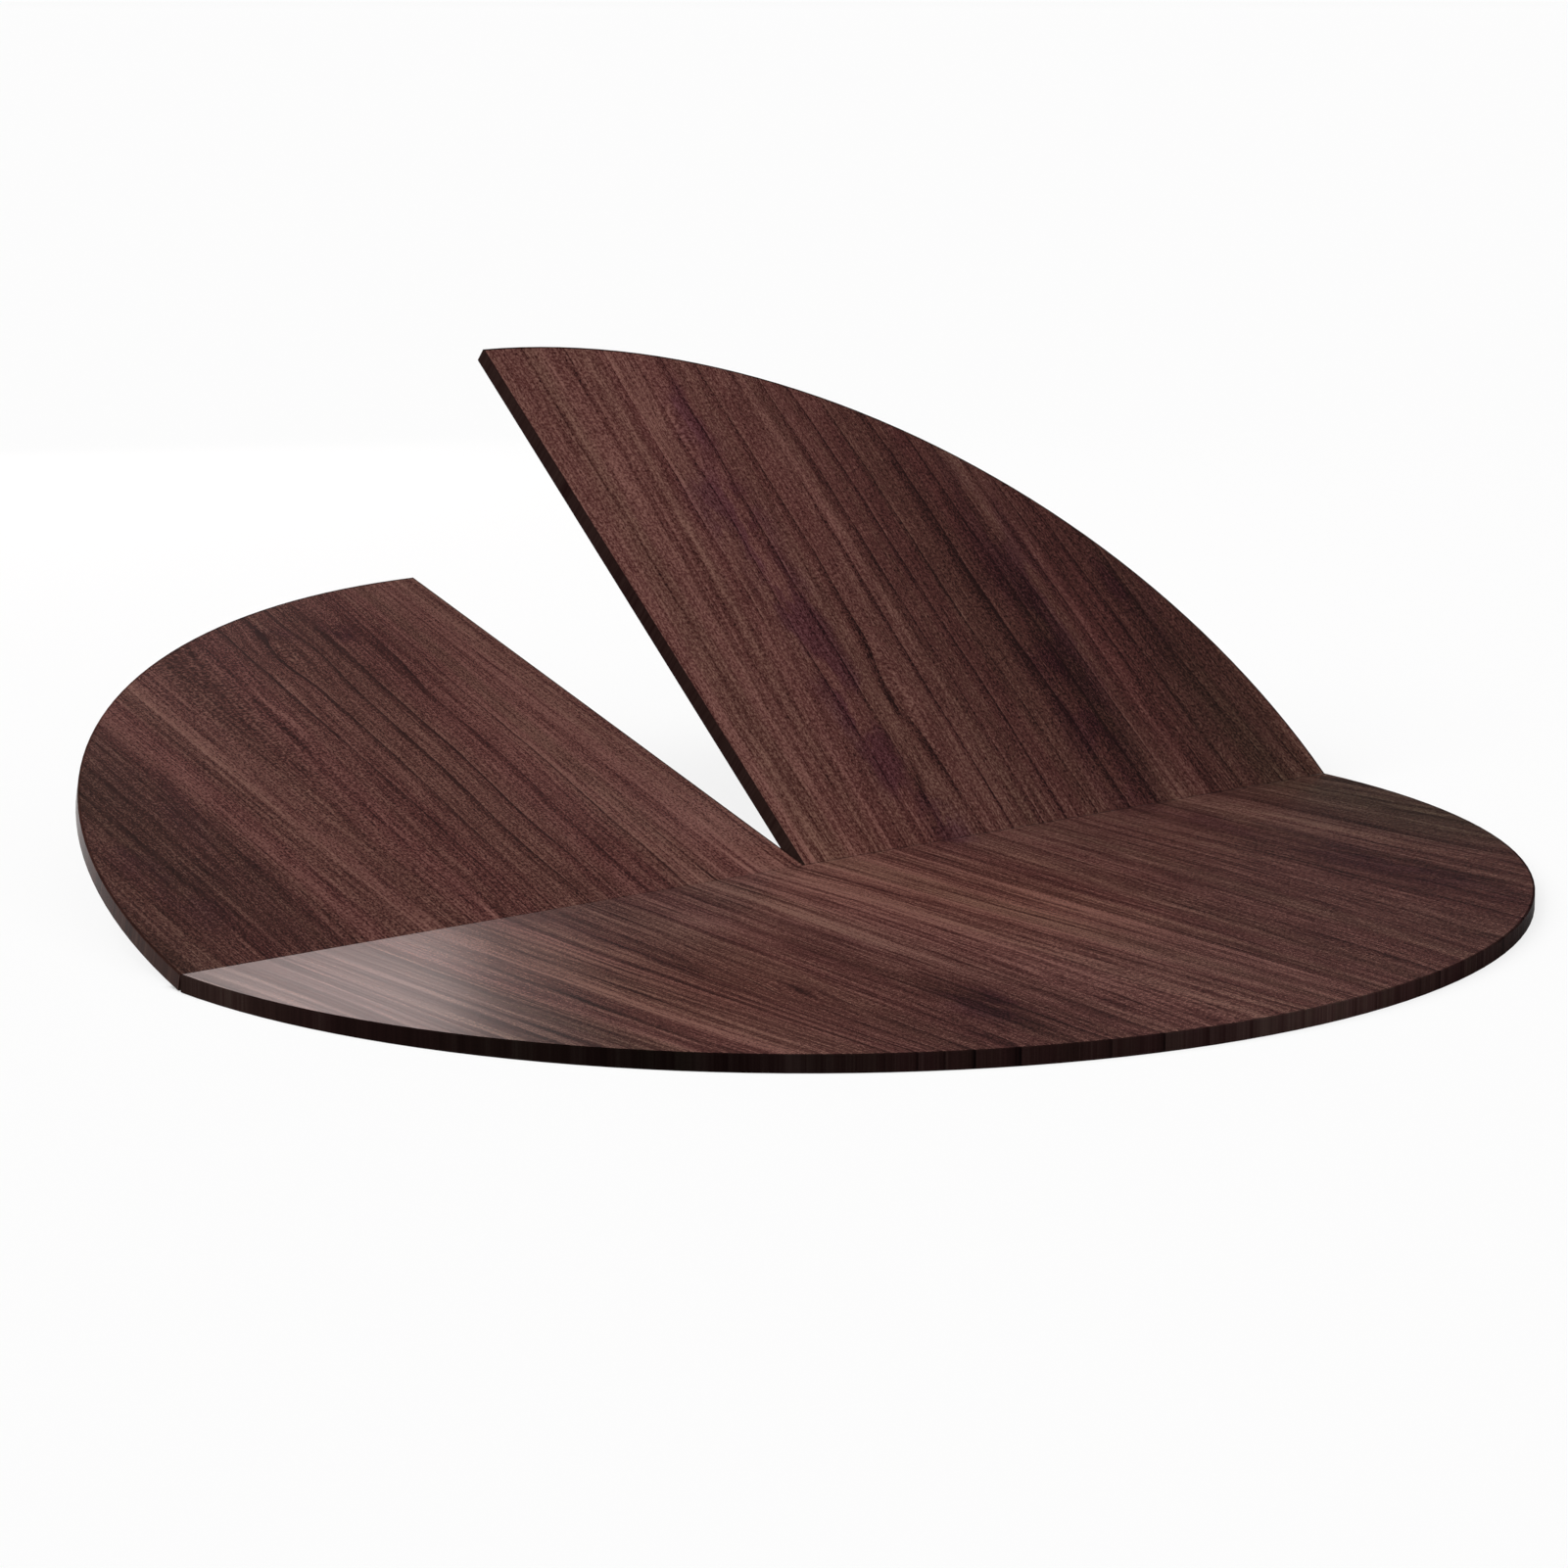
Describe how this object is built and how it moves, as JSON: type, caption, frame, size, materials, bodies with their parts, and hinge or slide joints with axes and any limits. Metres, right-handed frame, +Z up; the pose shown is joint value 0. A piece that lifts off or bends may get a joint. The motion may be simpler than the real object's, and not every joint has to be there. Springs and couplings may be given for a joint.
{
  "type": "folding table top",
  "caption": "Round folding table top in walnut-pattern laminate: a half-round panel lies flat and quarter-round leaves fold up beside it on concealed friction hinges.",
  "frame": {"origin": "on the half panel's underside, on its centre line, midway between its fold edge and its rim", "axes": "+X along the fold line towards the steeper leaf, +Y from the half panel towards the leaves, +Z up"},
  "size_m": [1.2, 1.1804, 0.3994],
  "materials": {
    "walnut_laminate": "satin dark walnut pattern",
    "balancing_laminate": "plain dark brown",
    "edge_band": "dark brown, satin",
    "core_board": "raw particle board",
    "hinge_housing": "satin nickel",
    "hinge_arm": "brushed",
    "hinge_rivet": "bright",
    "screw": "zinc plated"
  },
  "bodies": {
    "half_panel": {"half_bottom_sheet": "balancing_laminate", "half_core": "core_board", "half_fold_band": "edge_band", "half_left_far_housing": "hinge_housing", "half_left_near_housing": "hinge_housing", "half_right_far_housing": "hinge_housing", "half_right_near_housing": "hinge_housing", "half_rim_band": "edge_band", "half_screws": "screw", "half_top_sheet": "walnut_laminate"},
    "left_leaf": {"left_leaf_bottom_sheet": "balancing_laminate", "left_leaf_core": "core_board", "left_leaf_far_housing": "hinge_housing", "left_leaf_fold_band": "edge_band", "left_leaf_near_housing": "hinge_housing", "left_leaf_rim_band": "edge_band", "left_leaf_screws": "screw", "left_leaf_split_band": "edge_band", "left_leaf_top_sheet": "walnut_laminate"},
    "left_inner_arms": {"left_leaf_far_inner_arm": "hinge_arm", "left_leaf_near_inner_arm": "hinge_arm"},
    "left_outer_arms": {"left_leaf_far_outer_arm": "hinge_arm", "left_leaf_far_rivet": "hinge_rivet", "left_leaf_near_outer_arm": "hinge_arm", "left_leaf_near_rivet": "hinge_rivet"},
    "right_leaf": {"right_leaf_bottom_sheet": "balancing_laminate", "right_leaf_core": "core_board", "right_leaf_far_housing": "hinge_housing", "right_leaf_fold_band": "edge_band", "right_leaf_near_housing": "hinge_housing", "right_leaf_rim_band": "edge_band", "right_leaf_screws": "screw", "right_leaf_split_band": "edge_band", "right_leaf_top_sheet": "walnut_laminate"},
    "right_inner_arms": {"right_leaf_far_inner_arm": "hinge_arm", "right_leaf_near_inner_arm": "hinge_arm"},
    "right_outer_arms": {"right_leaf_far_outer_arm": "hinge_arm", "right_leaf_far_rivet": "hinge_rivet", "right_leaf_near_outer_arm": "hinge_arm", "right_leaf_near_rivet": "hinge_rivet"}
  },
  "joints": [
    {"name": "left_fold", "type": "hinge", "parent": "half_panel", "child": "left_leaf", "pos_m": [0, 0.3, 0.01425], "axis": [1, 0, 0], "range_deg": [-16, 164]},
    {"name": "left_inner_arm_slide", "type": "hinge", "parent": "half_panel", "child": "left_inner_arms", "pos_m": [0, 0.3, 0.01425], "axis": [1, 0, 0], "range_deg": [-4.32, 43.78]},
    {"name": "left_outer_arm_slide", "type": "hinge", "parent": "half_panel", "child": "left_outer_arms", "pos_m": [0, 0.3, 0.01425], "axis": [1, 0, 0], "range_deg": [-11.78, 120.32]},
    {"name": "right_fold", "type": "hinge", "parent": "half_panel", "child": "right_leaf", "pos_m": [0, 0.3, 0.01425], "axis": [1, 0, 0], "range_deg": [-40, 140]},
    {"name": "right_inner_arm_slide", "type": "hinge", "parent": "half_panel", "child": "right_inner_arms", "pos_m": [0, 0.3, 0.01425], "axis": [1, 0, 0], "range_deg": [-10.72, 37.38]},
    {"name": "right_outer_arm_slide", "type": "hinge", "parent": "half_panel", "child": "right_outer_arms", "pos_m": [0, 0.3, 0.01425], "axis": [1, 0, 0], "range_deg": [-29.38, 102.72]}
  ],
  "couplings": [
    {"joint": "left_inner_arm_slide", "follows": "left_fold", "ratio": 0.26667},
    {"joint": "left_outer_arm_slide", "follows": "left_fold", "ratio": 0.73333},
    {"joint": "right_inner_arm_slide", "follows": "right_fold", "ratio": 0.26667},
    {"joint": "right_outer_arm_slide", "follows": "right_fold", "ratio": 0.73333}
  ]
}
